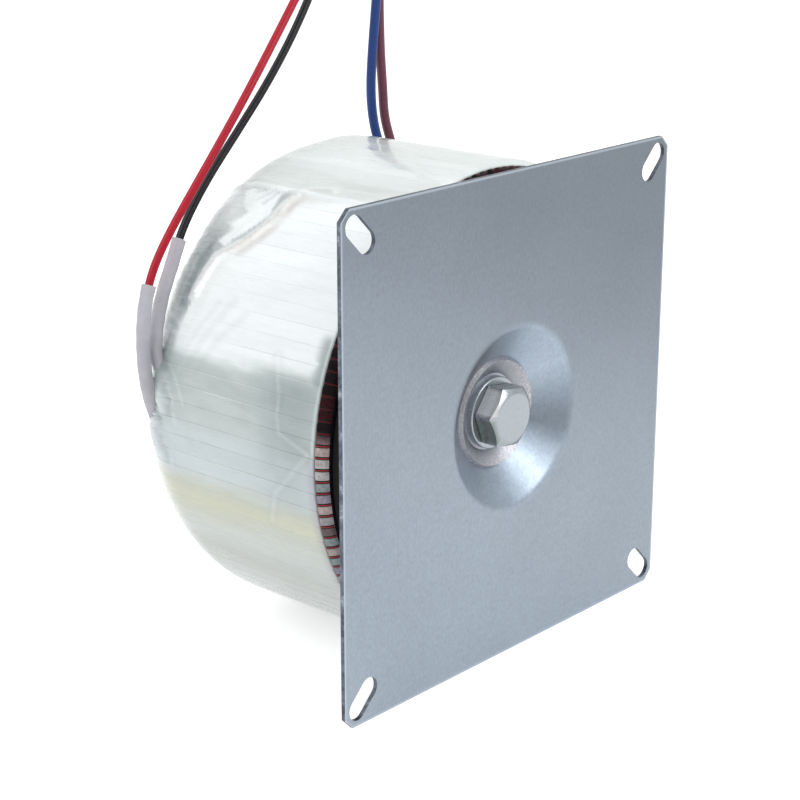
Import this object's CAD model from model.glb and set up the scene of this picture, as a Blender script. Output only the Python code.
import math

import bmesh
import bpy
import numpy as np
from bpy.props import FloatProperty, FloatVectorProperty, IntProperty, PointerProperty
from mathutils import Matrix, Vector, noise


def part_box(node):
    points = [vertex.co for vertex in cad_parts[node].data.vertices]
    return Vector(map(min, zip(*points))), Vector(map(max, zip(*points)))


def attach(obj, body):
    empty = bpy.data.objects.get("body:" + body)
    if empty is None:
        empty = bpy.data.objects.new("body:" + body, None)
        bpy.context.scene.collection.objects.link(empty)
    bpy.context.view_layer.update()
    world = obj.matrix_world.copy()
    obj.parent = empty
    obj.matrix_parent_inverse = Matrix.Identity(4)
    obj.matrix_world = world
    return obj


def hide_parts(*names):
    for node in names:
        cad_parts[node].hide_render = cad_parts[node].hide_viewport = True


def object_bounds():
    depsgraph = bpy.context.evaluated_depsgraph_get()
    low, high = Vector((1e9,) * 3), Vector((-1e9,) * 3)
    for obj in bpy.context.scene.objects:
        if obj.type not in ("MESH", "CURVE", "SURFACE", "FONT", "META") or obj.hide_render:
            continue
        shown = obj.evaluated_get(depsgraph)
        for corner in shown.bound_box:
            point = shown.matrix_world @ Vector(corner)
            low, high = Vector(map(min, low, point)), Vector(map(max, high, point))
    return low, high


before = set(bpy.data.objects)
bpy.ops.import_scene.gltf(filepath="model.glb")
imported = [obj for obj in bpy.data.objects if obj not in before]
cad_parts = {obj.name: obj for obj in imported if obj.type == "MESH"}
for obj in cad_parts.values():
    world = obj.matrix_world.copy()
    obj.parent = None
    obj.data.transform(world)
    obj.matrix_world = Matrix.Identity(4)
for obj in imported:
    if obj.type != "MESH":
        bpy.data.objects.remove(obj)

bl_info = {
    "name": "Toroidal transformer",
    "version": (1, 0, 0),
    "blender": (4, 5, 0),
    "location": "View3D > Sidebar > Transformer",
    "description": "Film-wrapped toroidal transformer on a zinc-plated plate, with its leads",
    "category": "Object",
}

# The model's box as the solids give it, before any piece is dressed
CAD_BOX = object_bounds()

MM = 0.001

# The coil, as the solids have it: plate and pad in front, then the film's form
COIL_FRONT = 0.0056
COIL_LENGTH = 0.0607
COIL_REAR = COIL_FRONT + COIL_LENGTH
COIL_RADIUS = 0.0533
BORE_RADIUS = 0.017
COIL_RISE = 0.0006
FRONT_CORNER = 0.0035
REAR_CORNER = 0.015
BORE_FRONT_CORNER = 0.006
BORE_REAR_CORNER = 0.008
# Radius at which the coil's side turns into its rear corner
REAR_FLAT = COIL_RADIUS - REAR_CORNER
# Millimetres round the coil's side for each degree
SIDE_DEGREE = COIL_RADIUS / MM * math.pi / 180

# The plate, the cupped washer and the bolt with its head
PLATE_HALF_SIDE = float(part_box("mounting_plate")[1][0])
PLATE_THICKNESS = 0.001
CORNER_CUT = 0.0024
DISH_RADIUS = 0.024
CUP_WASHER_RADIUS = float(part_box("cup_washer")[1][0])
BOLT_RADIUS = 0.004
HEAD_SEAT = float(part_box("front_washer")[0][1])
HEAD_FLATS = 0.0126
# Where the plain shank ends and the thread begins
THREAD_TOP = HEAD_SEAT + 0.022
# Share of the width across flats that the bolt head's turned face takes
HEAD_FACE_SHARE = 0.86

# Brightness of the pressed centre's wall by degrees from +X towards +Z
DISH_TONES = (
    (-180, 0.54), (-150, 0.60), (-120, 0.58), (-92, 0.64), (-60, 0.72), (-34, 0.66),
    (-20, 0.42), (-6, 0.46), (8, 0.62), (30, 0.90), (70, 0.88), (100, 0.64), (116, 0.38),
    (132, 0.30), (156, 0.32), (180, 0.50))

# Points of each lead in millimetres: the solids' own, moved a little to lie as in the photo
ROUTES = {
    "red": (
        (-50.6, 56.6, -2.6), (-53.3, 56.4, 3.6), (-55.3, 55.8, 11.0), (-55.8, 55.5, 18.6),
        (-54.9, 55.5, 26.2), (-51.9, 55.8, 33.6), (-46.4, 55.5, 41.4), (-36.7, 54.5, 53.4),
        (-26.3, 54.1, 65.6), (-15.3, 54.7, 78.2), (-3.9, 55.0, 92.0), (6.7, 53.8, 107.0),
        (15.9, 51.4, 122.0), (19.2, 52.0, 135.0)),
    "black": (
        (-50.2, 54.6, 8.4), (-52.3, 55.9, 13.6), (-50.9, 56.8, 19.8), (-48.6, 57.2, 26.4),
        (-44.8, 57.4, 33.6), (-41.0, 58.2, 40.2), (-33.9, 58.0, 49.2), (-25.2, 57.5, 58.2),
        (-15.8, 56.8, 68.4), (-6.6, 56.5, 80.0), (2.7, 57.0, 94.0), (11.7, 56.6, 108.6),
        (20.3, 57.0, 121.4), (28.2, 58.2, 131.4)),
    "blue": (
        (22.0, 57.2, 45.4), (20.5, 58.0, 50.0), (19.0, 58.3, 55.6), (18.2, 58.2, 62.4),
        (18.6, 58.0, 70.6), (20.2, 58.1, 82.6), (22.2, 58.6, 96.0), (23.7, 58.4, 110.0),
        (23.9, 57.3, 123.4)),
    "brown": (
        (26.6, 57.0, 42.4), (25.1, 57.8, 48.6), (23.3, 58.6, 55.2), (22.7, 58.5, 62.2),
        (22.1, 58.7, 70.6), (21.9, 58.9, 82.4), (23.4, 60.0, 96.0), (26.0, 61.9, 108.0),
        (29.4, 64.4, 119.0)),
}

# Height at which each sleeve ends
SLEEVE_TOP = {"red": 0.0300, "black": 0.0372}

# Creases of the film as degrees from the top and millimetres from the plate's face
FOLD_LINE = ((26.0, 31.0), (26.9, 35.5), (28.1, 38.8), (31.4, 40.3), (34.8, 40.2), (38.3, 40.5),
             (41.5, 41.8), (44.7, 43.6), (47.2, 46.3), (49.3, 48.6), (54.4, 49.6), (60.0, 50.4))
PLEATS = (
    ((28.2, 47.0), (30.6, 50.2)),
    ((28.6, 45.6), (32.2, 48.2)),
    ((29.0, 44.4), (33.0, 46.0)),
    ((28.4, 49.0), (29.8, 54.2)),
)
# Outline of the glossy film that lies flat behind the fold
GLOSSY_PATCH = (
    (27.4, 57.0), (27.2, 50.0), (27.2, 40.2), (28.6, 41.5), (29.5, 43.1), (33.2, 42.5),
    (36.2, 41.6), (39.0, 43.0), (42.1, 44.7), (44.8, 46.9), (47.1, 47.6), (45.7, 51.4),
    (44.0, 50.4), (42.0, 48.4), (40.8, 51.7), (39.1, 49.3), (36.8, 48.2), (34.8, 51.2),
    (33.0, 51.6))
CREASES = (
    ((87.4, 9.9), (85.5, 15.3), (84.2, 18.8), (75.9, 19.6), (68.3, 21.9)),
    ((87.4, 10.4), (93.6, 15.4), (98.7, 20.1), (106.9, 22.9)),
    ((76.0, 52.0), (80.4, 48.6), (84.4, 46.8)),
    ((78.4, 53.0), (83.8, 50.2), (89.6, 49.0)),
    ((90.4, 54.6), (95.4, 52.0), (100.2, 51.4)),
)
# Wide soft shadows of slack film, each with its half width
SLACK = (
    (((73.7, 23.4), (81.2, 22.4), (90.0, 21.4)), 2.6),
    (((58.6, 38.2), (66.9, 43.0), (74.2, 46.0), (81.2, 49.8)), 1.2),
    (((60.0, 42.4), (67.0, 46.0), (73.2, 48.1), (78.0, 51.0)), 0.9),
    (((61.0, 33.6), (68.0, 39.6), (76.6, 44.0)), 1.0),
    (((85.3, 47.6), (92.2, 44.7)), 1.5),
)
# Millimetres round the coil from its top to the raised edge of the top layer
TOP_EDGE = 26.2345
# Where the sleeves and the blue and brown leads lie under the film before they come out
BULGES = (
    ((88.6, 56.4), (93.6, 56.4), (98.0, 55.0)),
    ((77.8, 55.6), (82.6, 54.6), (86.0, 53.0)),
    ((-24.0, 57.6), (-28.0, 56.4)),
    ((-32.0, 57.0), (-35.0, 55.6)),
)


def linear(text):
    """A colour written as sRGB hex, turned to the linear values that the nodes take.

    A value that isn't hex comes back as it is.
    """
    if not (isinstance(text, str) and text.startswith("#")):
        return text
    channels = []
    for start in (1, 3, 5):
        value = int(text[start:start + 2], 16) / 255
        channels.append(value / 12.92 if value <= 0.04045 else ((value + 0.055) / 1.055) ** 2.4)
    return (channels[0], channels[1], channels[2], 1.0)


def colour_property(name, description, text):
    """A colour that a user can change, with its default given as hex."""
    return FloatVectorProperty(
        name=name, description=description, subtype="COLOR", size=4, min=0.0, max=1.0,
        default=linear(text))


def length_property(name, description, default, low, high):
    """A length in metres that a user can change."""
    return FloatProperty(name=name, description=description, default=default, min=low, max=high,
                         unit="LENGTH", precision=5)


class FilmSettings(bpy.types.PropertyGroup):
    """Sizes and colours of the wound polyester film."""
    lap_count: IntProperty(
        name="Laps", description="Turns of tape round the coil", default=90, min=24, max=120)
    lap_lift: length_property(
        "Lap lift", "How far a tape edge stands off the turn below it", 0.00010, 0.0, 0.0006)
    fold_height: length_property(
        "Fold height", "Height of the long crumpled fold", 0.0009, 0.0, 0.003)
    top_colour: colour_property("Top", "Film over the top of the coil", "#D8E1DF")
    bright_colour: colour_property(
        "Bright", "Clear layers that lie tight and look white", "#F6FDFE")
    grey_colour: colour_property("Grey green", "Layers with the winding showing through", "#BFCAC8")
    blue_colour: colour_property("Bluish", "Milky layers below the middle", "#C5D1D4")
    yellow_colour: colour_property("Yellowed", "Band where the adhesive has yellowed", "#C1C6B5")
    low_colour: colour_property("Lower side", "Film on the lower side of the coil", "#C6CECA")
    fold_colour: colour_property(
        "Fold edge", "Edge of a fold, where copper glows through", "#D0CDC8")


class WindingSettings(bpy.types.PropertyGroup):
    """Sizes and colours of the wire turns that show at the coil's front edge."""
    turn_count: IntProperty(
        name="Turns", description="Wire bundles round the front edge", default=132, min=40, max=200)
    wire_diameter: length_property(
        "Wire", "Diameter of the enamelled wire", 0.00032, 0.0002, 0.0008)
    dark_colour: colour_property("Dark enamel", "Wire in the shade of the plate", "#1E1719")
    red_colour: colour_property("Red enamel", "Wire that catches the light", "#8E2A2C")


class LeadSettings(bpy.types.PropertyGroup):
    """Sizes and colours of the four leads and two sleeves."""
    secondary_diameter: length_property(
        "Secondary leads", "Diameter of the red and black leads", 0.0018, 0.001, 0.004)
    primary_diameter: length_property(
        "Primary leads", "Diameter of the blue and brown leads", 0.0022, 0.001, 0.004)
    sleeve_diameter: length_property(
        "Sleeves", "Outer diameter of the white sleeves", 0.0030, 0.0022, 0.005)
    strand_count: IntProperty(
        name="Strands", description="Outer strands of a bared end", default=6, min=3, max=12)
    red_colour: colour_property("Red lead", "PVC jacket of the red lead", "#AE0D27")
    black_colour: colour_property("Black lead", "PVC jacket of the black lead", "#0B0C11")
    blue_colour: colour_property("Blue lead", "PVC jacket of the blue lead", "#1F3D7C")
    brown_colour: colour_property("Brown lead", "PVC jacket of the brown lead", "#6C3D4B")
    sleeve_colour: colour_property("Sleeve", "White PVC sleeving", "#BCBBC2")


class MetalSettings(bpy.types.PropertyGroup):
    """Sizes and colours of the plate and its fasteners."""
    thread_pitch: length_property(
        "Thread pitch", "Coarse pitch of the M8 bolt", 0.00125, 0.0005, 0.002)
    edge_radius: length_property(
        "Bolt edges", "Rounding of the bolt's forged edges", 0.00012, 0.0, 0.0005)
    zinc_colour: colour_property("Zinc", "Zinc plating of the mounting plate", "#949EA8")
    bright_colour: colour_property(
        "Bright zinc", "Clear-passivated zinc of the fasteners", "#9AA1A6")
    washer_colour: colour_property(
        "Washer steel", "Matt plated steel of the cupped washer", "#A3A7AF")


class StageSettings(bpy.types.PropertyGroup):
    """The camera, lamps and floor."""
    azimuth: FloatProperty(
        name="Azimuth", description="Turn of the camera from the plate's front",
        default=math.radians(-48.44), subtype="ANGLE")
    elevation: FloatProperty(
        name="Elevation", description="Height angle of the camera",
        default=math.radians(17.736), subtype="ANGLE")
    distance: FloatProperty(
        name="Distance", description="Camera to the middle of the plate",
        default=0.42415, min=0.1, unit="LENGTH", precision=4)
    slide: length_property("Slide", "Camera moved along its own right", -0.024691, -1.0, 1.0)
    lift: length_property("Lift", "Camera moved along its own up", 0.003843, -1.0, 1.0)
    lens: FloatProperty(
        name="Lens", description="Focal length on a 36 mm sensor, in millimetres", default=88.99)
    floor_colour: colour_property("Floor", "Pale studio floor", "#F4F4F4")


def fill(tree, node, values):
    """Links the values that are sockets to a node's inputs, and sets the others."""
    for name, value in values.items():
        if isinstance(value, bpy.types.NodeSocket):
            tree.links.new(value, node.inputs[name])
        else:
            node.inputs[name].default_value = linear(value)


def add_node(tree, kind, settings=None, inputs=None):
    """Adds one node, with its settings, values and links."""
    node = tree.nodes.new(kind)
    for name, value in (settings or {}).items():
        setattr(node, name, value)
    fill(tree, node, inputs or {})
    return node


def first_output(tree, kind, settings=None, inputs=None):
    """What a new node gives at its first output."""
    return add_node(tree, kind, settings, inputs).outputs[0]


def maths(tree, operation, *values):
    """A sum, product or other function of values."""
    return first_output(tree, "ShaderNodeMath", {"operation": operation}, dict(enumerate(values)))


def product(tree, first, *others):
    """The product of several values."""
    for other in others:
        first = maths(tree, "MULTIPLY", first, other)
    return first


def vector_maths(tree, operation, inputs):
    """A sum, product or other function of vectors, as a node's outputs."""
    return add_node(tree, "ShaderNodeVectorMath", {"operation": operation}, inputs).outputs


def times(tree, colour, factor):
    """A colour made lighter or darker by a factor."""
    return vector_maths(tree, "SCALE", {0: colour, "Scale": factor})[0]


def tinted_by(tree, first, second):
    """Two colours multiplied."""
    return vector_maths(tree, "MULTIPLY", {0: first, 1: second})[0]


def spread(tree, value, start=(0.0, 1.0), end=(0.0, 1.0), soft=False):
    """A value carried from one range to another and held at its ends."""
    return first_output(
        tree, "ShaderNodeMapRange", {"interpolation_type": "SMOOTHSTEP" if soft else "LINEAR"},
        {"Value": value, "From Min": start[0], "From Max": start[1],
         "To Min": end[0], "To Max": end[1]})


def grains(tree, coords, scale, detail=2.0, roughness=0.5):
    """Soft noise in a finish, about one half."""
    return add_node(tree, "ShaderNodeTexNoise", inputs={
        "Vector": coords, "Scale": scale, "Detail": detail, "Roughness": roughness}).outputs["Fac"]


def drawn_out(tree, coords, scale):
    """Coordinates stretched, so that a noise in them becomes streaks."""
    return first_output(tree, "ShaderNodeMapping", inputs={"Vector": coords, "Scale": scale})


def blend(tree, share, first, second):
    """One colour laid over another by a share."""
    return add_node(tree, "ShaderNodeMix", {"data_type": "RGBA"},
                    {0: share, 6: first, 7: second}).outputs[2]


def gradient(tree, value, stops, steps=False):
    """A colour read off a ramp given as pairs of place and colour."""
    node = add_node(tree, "ShaderNodeValToRGB", inputs={0: value})
    ramp = node.color_ramp
    if steps:
        ramp.interpolation = "CONSTANT"
    while len(ramp.elements) > 1:
        ramp.elements.remove(ramp.elements[-1])
    ramp.elements[0].position = stops[0][0]
    ramp.elements[0].color = linear(stops[0][1])
    for place, colour in stops[1:]:
        ramp.elements.new(place).color = linear(colour)
    return node.outputs["Color"]


def point_value(tree, name):
    """A value that the mesh stores on its points."""
    return add_node(tree, "ShaderNodeAttribute", {"attribute_name": name}).outputs["Fac"]


def bumped(tree, strength, distance, height, normal=None):
    """A bumped normal, laid over another one where that is given."""
    inputs = {"Strength": strength, "Distance": distance, "Height": height}
    if normal is not None:
        inputs["Normal"] = normal
    return first_output(tree, "ShaderNodeBump", inputs=inputs)


def parted(tree, coords):
    """The X, Y and Z of a point, as a node's outputs."""
    return add_node(tree, "ShaderNodeSeparateXYZ", inputs={0: coords}).outputs


def from_axis(tree, parts):
    """Distance from the bolt's axis."""
    flat = first_output(tree, "ShaderNodeCombineXYZ", inputs={"X": parts["X"], "Y": parts["Z"]})
    return vector_maths(tree, "LENGTH", {0: flat})["Value"]


def round_coil(tree, parts):
    """Angle round the coil's axis, from the top towards -X."""
    across = maths(tree, "MULTIPLY", parts["X"], -1.0)
    height = maths(tree, "SUBTRACT", parts["Z"], COIL_RISE)
    return maths(tree, "ARCTAN2", across, height)


def seen_share(tree):
    """One for rays that a viewer sees, straight or mirrored, and nought for the rest."""
    ray = add_node(tree, "ShaderNodeLightPath").outputs
    first = maths(tree, "MAXIMUM", ray["Is Camera Ray"], ray["Is Glossy Ray"])
    return maths(tree, "MAXIMUM", first, ray["Is Transmission Ray"])


def new_material(name):
    """An empty node material with its shader and its Object coordinates."""
    material = bpy.data.materials.new(name)
    material.use_nodes = True
    tree = material.node_tree
    tree.nodes.clear()
    shader = add_node(tree, "ShaderNodeBsdfPrincipled")
    add_node(tree, "ShaderNodeOutputMaterial", inputs={"Surface": shader.outputs["BSDF"]})
    coords = add_node(tree, "ShaderNodeTexCoord").outputs["Object"]
    return material, tree, shader, coords


def mixed(first, second, share):
    """A colour part of the way between two others."""
    return tuple(a + (b - a) * share for a, b in zip(linear(first), linear(second)))


def paint_shell(obj, material):
    """Gives an object one material in place of all it has."""
    if not obj.material_slots:
        obj.data.materials.append(material)
    for slot in obj.material_slots:
        slot.material = material


def film_zones(tree, settings, turn):
    """Colours of the wound layers, by bands parallel to the axis."""
    top, bright, grey, blue, yellow, low = (
        tuple(getattr(settings, "%s_colour" % name))
        for name in ("top", "bright", "grey", "blue", "yellow", "low"))
    dark = mixed(low, "#9DA6A1", 0.8)
    bands = (
        (-180, dark), (-150, low), (-112, yellow), (-98, blue), (-86, grey), (-74, grey),
        (-68, bright), (-40, bright), (-26, top), (4, top), (15, mixed(top, bright, 0.35)),
        (18, mixed(top, bright, 0.25)), (21, top), (27, top), (29.5, bright), (70, bright),
        (73.5, grey), (80, mixed(grey, "#AAB6B5", 0.5)), (86, grey), (91, blue),
        (99, blue), (103, yellow), (108, mixed(yellow, "#D8D6B0", 0.35)),
        (113, mixed(yellow, low, 0.6)), (117, low), (123, mixed(low, dark, 0.65)), (150, dark),
        (180, dark))
    return gradient(tree, turn, [((degrees + 180) / 360, band) for degrees, band in bands])


def lap_edges(tree, lap_count, angle, wander, lap_tone):
    """How much shows of the thin edge of each turn of tape."""
    phase = maths(tree, "MULTIPLY", angle, -lap_count / (2 * math.pi))
    edge = spread(tree, maths(tree, "FRACT", phase), (0.93, 0.985), soft=True)
    broken = spread(tree, wander, (0.40, 0.55), (0.15, 0.75))
    kept = spread(tree, lap_tone, (0.25, 0.6), (0.4, 1.0))
    return product(tree, edge, broken, kept)


def milky_veils(tree, angle, past, film):
    """The film's front edge: a pale line above, which thins out to a milky veil below."""
    for near, far, share, start, end, tint in (
            (0.0007, 0.0017, 0.55, (0.90, 1.05), (1.50, 1.58), "#DDE5E4"),
            (0.0007, 0.0034, 0.60, (1.50, 1.60), (2.15, 2.40), "#A29DA9")):
        fading = spread(tree, past, (near, far), (share, 0.0), soft=True)
        begins = spread(tree, angle, start, soft=True)
        ends = spread(tree, angle, end, (1.0, 0.0), soft=True)
        film = blend(tree, product(tree, begins, ends, fading), film, tint)
    return film


def polyester_film(settings):
    """Wound polyester tape: clear glossy layers that look milky where many lie together.

    Its gloss comes from a clear coat, and its colour goes by bands parallel to the axis.
    """
    material, tree, shader, coords = new_material("wound_polyester_film")
    parts = parted(tree, coords)
    angle = round_coil(tree, parts)
    # Slow wander of 9 mm, drawn out along the tape, so that no band ends on a straight line
    wander = grains(tree, drawn_out(tree, coords, (1.0, 0.3, 1.0)), 110.0, 3.0, 0.55)
    wobble = spread(tree, wander, (0.3, 0.7), (-0.035, 0.035))
    turn = spread(tree, maths(tree, "ADD", angle, wobble), (-math.pi, math.pi))
    zones = film_zones(tree, settings, turn)

    # Streaks along the tape, drawn out along the axis
    stretch = drawn_out(tree, coords, (1.0, 0.22, 1.0))
    streaks = grains(tree, stretch, 420.0, 4.0, 0.6)
    streak_tone = spread(tree, streaks, (0.3, 0.7), (0.955, 1.025))
    lap_tone = point_value(tree, "lap_tone")
    lap_shift = spread(tree, lap_tone, end=(0.965, 1.025))
    streaked = times(tree, zones, product(tree, streak_tone, lap_shift))

    # Edges of the tape, pinkish on the bright film and white on the grey
    pinkish, pale = "#D3D9D8", "#E6EDEB"
    edge_colours = gradient(tree, turn, [
        (0.0, pinkish), (252 / 360, pinkish), (255 / 360, pale), (272 / 360, pale),
        (280 / 360, "#D3D6C8"), (1.0, "#CDD3CA")])
    edge_share = lap_edges(tree, settings.lap_count, angle, wander, lap_tone)
    edged = blend(tree, edge_share, streaked, edge_colours)

    # Shadow side of folds, copper-tinted fold edges, and glossy patches between pleats
    shaded = blend(tree, point_value(tree, "fold_shade"), edged, "#97A4A6")
    tinted = blend(tree, point_value(tree, "fold_edge"), shaded, tuple(settings.fold_colour))
    patched = blend(tree, point_value(tree, "fold_gloss"), tinted, tuple(settings.bright_colour))

    # At the front corner the layers are clear and the dark winding shows
    edge_place = spread(tree, maths(tree, "ABSOLUTE", angle), (0.5, 0.9),
                        (COIL_FRONT + 0.0010, COIL_FRONT + 0.0025), soft=True)
    past = maths(tree, "SUBTRACT", parts["Y"], edge_place)
    front = spread(tree, past, (-0.0001, 0.0010), (1.0, 0.0), soft=True)
    colour = blend(tree, front, milky_veils(tree, angle, past, patched), "#110E11")

    bump = bumped(tree, 0.35, 0.00025, grains(tree, stretch, 900.0, 5.0, 0.6))
    fill(tree, shader, {
        "Base Color": colour, "Normal": bumped(tree, 0.5, 0.0006, streaks, bump), "IOR": 1.57,
        "Roughness": spread(tree, wander, end=(0.12, 0.36)),
        "Specular IOR Level": spread(tree, front, end=(0.5, 0.1)),
        "Coat Weight": spread(tree, front, end=(0.6, 0.05)), "Coat Roughness": 0.08})
    return material


def enamelled_wire(settings):
    """Enamelled copper wire under clear tape: dark red-brown with red and pale glints."""
    material, tree, shader, coords = new_material("enamelled_copper_wire")
    parts = parted(tree, coords)
    angle = round_coil(tree, parts)
    turn = spread(tree, angle, (-math.pi, math.pi))
    dark = tuple(settings.dark_colour)
    red = tuple(settings.red_colour)
    tone = point_value(tree, "turn_tone")
    pale = gradient(tree, tone, [
        (0.0, "#A39FA3"), (0.18, "#B7A7A4"), (0.34, "#9790A0"), (0.5, "#8E989A"),
        (0.62, "#BBB7B7"), (0.78, "#83686B"), (0.9, "#6A585B")], steps=True)
    shady = gradient(tree, tone, [
        (0.0, dark), (0.45, mixed(dark, red, 0.09)), (0.7, "#131113"), (0.9, "#383135")],
        steps=True)
    black, white = "#000000", "#FFFFFF"
    lit = gradient(tree, turn, [
        (0.0, white), (140 / 360, white), (175 / 360, black), (262.4 / 360, black),
        (263.6 / 360, white), (300 / 360, white), (1.0, white)])
    body = blend(tree, lit, shady, pale)
    grain = grains(tree, coords, 1400.0, 3.0)
    dirt = spread(tree, grain, (0.35, 0.65), (0.72, 1.12))
    toned = times(tree, body, dirt)
    enamel = blend(tree, lit, mixed(dark, red, 0.3), red)
    colour = blend(tree, point_value(tree, "is_wire"), toned, enamel)
    bump = bumped(tree, 0.3, 0.0001, grain)
    fill(tree, shader, {
        "Base Color": colour, "Normal": bump, "Roughness": 0.34,
        "Specular IOR Level": spread(tree, lit, end=(0.04, 0.25)),
        "Coat Weight": spread(tree, lit, end=(0.0, 0.1))})
    return material


def stained_rim(tree, coords, sheet, bloom):
    """The washer's outer ring: the sheet stained pinkish brown and grainy."""
    ring = spread(tree, from_axis(tree, parted(tree, coords)),
                  (CUP_WASHER_RADIUS - 0.0042, CUP_WASHER_RADIUS - 0.0012), (0.0, 0.6), soft=True)
    specks = grains(tree, coords, 2600.0, 2.0, 0.8)
    stain = gradient(tree, specks, [(0.38, "#939094"), (0.52, "#ADAAAE"), (0.66, "#D1D0D3")])
    return blend(tree, ring, sheet, stain)


def pressed_tones(tree, coords, parts, out, sheet):
    """The plate's face: duller towards its upper edge, burnished where its centre is pressed."""
    lean = vector_maths(tree, "DOT_PRODUCT", {0: coords, 1: (0.35, 0.0, 1.0)})["Value"]
    place = spread(tree, lean, (-PLATE_HALF_SIDE, PLATE_HALF_SIDE))
    fades = ((0.05, 0.94), (0.335, 0.88), (0.45, 0.84), (0.555, 0.79), (0.675, 0.71),
             (0.75, 0.64), (0.94, 0.56))
    fade = gradient(tree, place, [(share, (grey, grey, grey, 1.0)) for share, grey in fades])
    # The drawn wall of the pressed centre is burnished in sectors round the axis
    bearing = maths(tree, "ARCTAN2", parts["Z"], parts["X"])
    sectors = gradient(tree, spread(tree, bearing, (-math.pi, math.pi)), [
        ((degrees + 180) / 360, (grey * 0.98, grey, grey * 1.03, 1.0))
        for degrees, grey in DISH_TONES])
    in_wall = spread(tree, out, (DISH_RADIUS - 0.0046, DISH_RADIUS - 0.0024), (1.0, 0.0),
                     soft=True)
    wall_tone = blend(tree, in_wall, (0.6, 0.6, 0.6, 1.0), sectors)
    return tinted_by(tree, tinted_by(tree, times(tree, sheet, 1.70), wall_tone), fade)


def sheared_edges(tree, parts, out, sheet, bloom):
    """The plate's edges: its face turns over to a bright line, and the sheared walls are dark."""
    wide = maths(tree, "ABSOLUTE", parts["X"])
    tall = maths(tree, "ABSOLUTE", parts["Z"])
    most = maths(tree, "MAXIMUM", wide, tall)
    cut = maths(tree, "SUBTRACT", maths(tree, "ADD", wide, tall), PLATE_HALF_SIDE - CORNER_CUT)
    bright_line = spread(tree, maths(tree, "MAXIMUM", most, cut),
                         (PLATE_HALF_SIDE - 0.0006, PLATE_HALF_SIDE - 0.0003), (0.0, 0.4))
    lined = blend(tree, bright_line, sheet, "#C2CDD6")
    # Between the two faces of the flat sheet lie its sheared edges and slot walls
    depth = maths(tree, "SUBTRACT", parts["Y"], PLATE_THICKNESS / 2)
    between = maths(tree, "LESS_THAN", maths(tree, "ABSOLUTE", depth), PLATE_THICKNESS * 0.49)
    beyond = maths(tree, "GREATER_THAN", out, DISH_RADIUS)
    burr = gradient(tree, bloom, [(0.4, "#484D56"), (0.58, "#6A707A"), (0.72, "#A0A6AE")])
    return blend(tree, product(tree, between, beyond), lined, burr)


def pressed_plate(tree, coords, sheet, bloom):
    """The mounting plate's own tones, over the plain sheet."""
    parts = parted(tree, coords)
    out = from_axis(tree, parts)
    toned = pressed_tones(tree, coords, parts, out, sheet)
    return sheared_edges(tree, parts, out, toned, bloom)


def zinc_sheet(name, colour, roughness, dressing=None):
    """Zinc-plated rolled steel sheet: a soft blue-grey sheen with a fine upright grain."""
    material, tree, shader, coords = new_material(name)
    # Skin-pass grain of about 0.5 mm, drawn out a little along the roll
    grain = grains(tree, drawn_out(tree, coords, (1.0, 1.0, 0.6)), 1700.0, 4.0, 0.65)
    # Crystals of the plating, 2 to 3 mm, barely seen
    bloom = grains(tree, coords, 380.0, 5.0, 0.7)
    cloud = grains(tree, coords, 34.0)
    result = times(tree, colour, product(
        tree, spread(tree, grain, (0.3, 0.7), (0.90, 1.09)),
        spread(tree, bloom, (0.3, 0.7), (0.93, 1.07)),
        spread(tree, cloud, (0.3, 0.7), (0.97, 1.03))))
    if dressing is not None:
        result = dressing(tree, coords, result, bloom)
    rough = spread(tree, bloom, (0.3, 0.7), (roughness - 0.05, roughness + 0.06))
    bump = bumped(tree, 0.25, 0.00006, grain)
    fill(tree, shader, {"Base Color": result, "Roughness": rough, "Normal": bump, "Metallic": 1.0})
    return material


def bright_zinc(colour):
    """Bright zinc with clear passivation on cold-formed steel: shiny, faintly green."""
    material, tree, shader, coords = new_material("bright_zinc_passivated")
    grain = grains(tree, coords, 900.0, 2.0, 0.5)
    pits = add_node(tree, "ShaderNodeTexVoronoi", inputs={"Vector": coords, "Scale": 900.0})
    tone = spread(tree, grain, (0.3, 0.7), (0.96, 1.03))
    body = times(tree, colour, tone)
    rough = spread(tree, grain, (0.3, 0.7), (0.26, 0.34))
    bump = bumped(tree, 0.012, 0.00004, pits.outputs["Distance"])
    # Draw marks run round the axis on the sides of the head
    lines = drawn_out(tree, coords, (0.06, 1.0, 0.06))
    marks = grains(tree, lines, 3200.0, 3.0, 0.7)
    drawn = bumped(tree, 0.05, 0.00004, marks, bump)
    olive = blend(tree, point_value(tree, "facet_shade"), body, "#6C736C")
    burnished = point_value(tree, "facet_light")
    light = blend(tree, burnished, olive, "#E4E7E8")
    metal = spread(tree, burnished, end=(1.0, 0.35))
    fill(tree, shader, {
        "Roughness": rough, "Normal": drawn, "Base Color": light,
        "Metallic": metal})
    return material


def mottled(name, grain, stops, bump, values):
    """A finish with one mottle, which gives it its colours and, where asked, a fine bump."""
    material, tree, shader, coords = new_material(name)
    mottle = grains(tree, coords, *grain)
    fill(tree, shader, {"Base Color": gradient(tree, mottle, stops), **values})
    if bump is not None:
        fill(tree, shader, {"Normal": bumped(tree, *bump, mottle)})
    return material


def moulded_rubber():
    """Black rubber sheet: dull, dark grey, with a fine dusty mottle."""
    return mottled("black_rubber_sheet", (700.0, 5.0, 0.7),
                   [(0.3, "#08090C"), (0.62, "#101116"), (0.8, "#1E1F25")], (0.4, 0.00015),
                   {"Roughness": 0.62, "Specular IOR Level": 0.12})


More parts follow.
